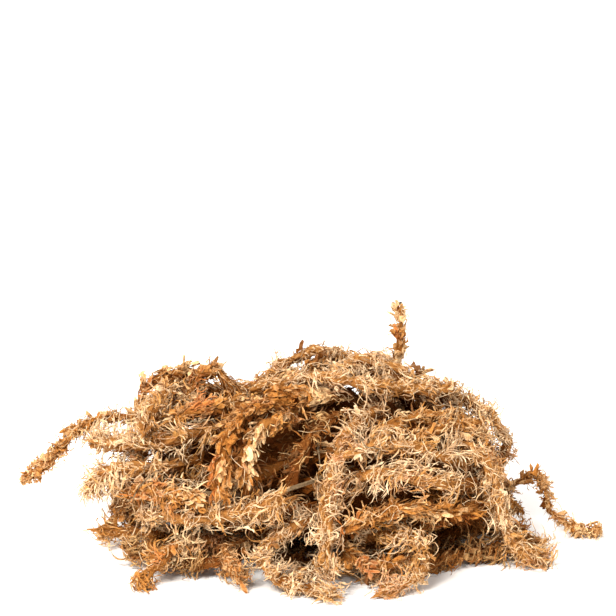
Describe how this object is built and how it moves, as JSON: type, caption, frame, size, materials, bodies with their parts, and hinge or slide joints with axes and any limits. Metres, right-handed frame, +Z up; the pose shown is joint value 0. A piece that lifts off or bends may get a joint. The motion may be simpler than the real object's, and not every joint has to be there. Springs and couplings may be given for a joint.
{
  "type": "sphagnum moss clump",
  "caption": "Loose heap of dried sphagnum moss: leafy, tufted strands tangled round a matted middle, with a few sprigs standing out at the sides and the top.",
  "frame": {"origin": "on the surface that the clump lies on, under the middle of its box", "axes": "+X across the clump, to the right as seen from its front; +Y towards its back; +Z up"},
  "size_m": [0.276, 0.1674, 0.1094],
  "materials": {
    "straw": "dry pale straw-coloured moss, matt, with cream fibres",
    "gold": "dry golden tan moss, matt",
    "amber": "dry rust-orange moss, matt",
    "brown": "dark brown moss of the inside and the underside, matt",
    "stalk": "bare greyish brown stalk, dull"
  },
  "bodies": {
    "root": {"back_01": "gold", "back_02": "straw", "back_03": "amber", "back_04": "gold", "back_05": "brown", "back_06": "straw", "back_07": "gold", "back_08": "straw", "back_09": "amber", "back_10": "gold", "back_11": "brown", "back_12": "straw", "back_13": "gold", "back_14": "straw", "back_15": "amber", "bare_stalk": "stalk", "centre_brown": "brown", "centre_drop": "straw", "crest_left": "straw", "crest_middle": "straw", "drooping_sprig": "amber", "floor_01": "brown", "floor_02": "brown", "floor_03": "brown", "floor_04": "brown", "floor_05": "brown", "floor_runner": "brown", "front_cup": "amber", "front_hoop": "straw", "front_right_curl": "straw", "hollow_rim": "amber", "inner_rust": "amber", "left_arch": "amber", "left_crest": "gold", "left_flank_lower": "straw", "left_flank_upper": "straw", "left_floor_run": "brown", "left_foot": "gold", "left_front_leg": "gold", "left_pale_drop": "straw", "left_shelf": "gold", "left_shoulder": "gold", "left_sprig": "amber", "lower_shelf": "straw", "main_rope": "amber", "matted_middle": "brown", "pale_swag": "straw", "right_arch": "amber", "right_band": "gold", "right_drape": "straw", "right_fan": "straw", "right_flank": "straw", "right_flap": "gold", "right_shoulder": "gold", "rope_loop": "gold", "rust_curl": "amber", "rust_twig": "amber", "top_sprig": "gold", "under_right": "brown", "upper_band": "straw"}
  },
  "joints": []
}
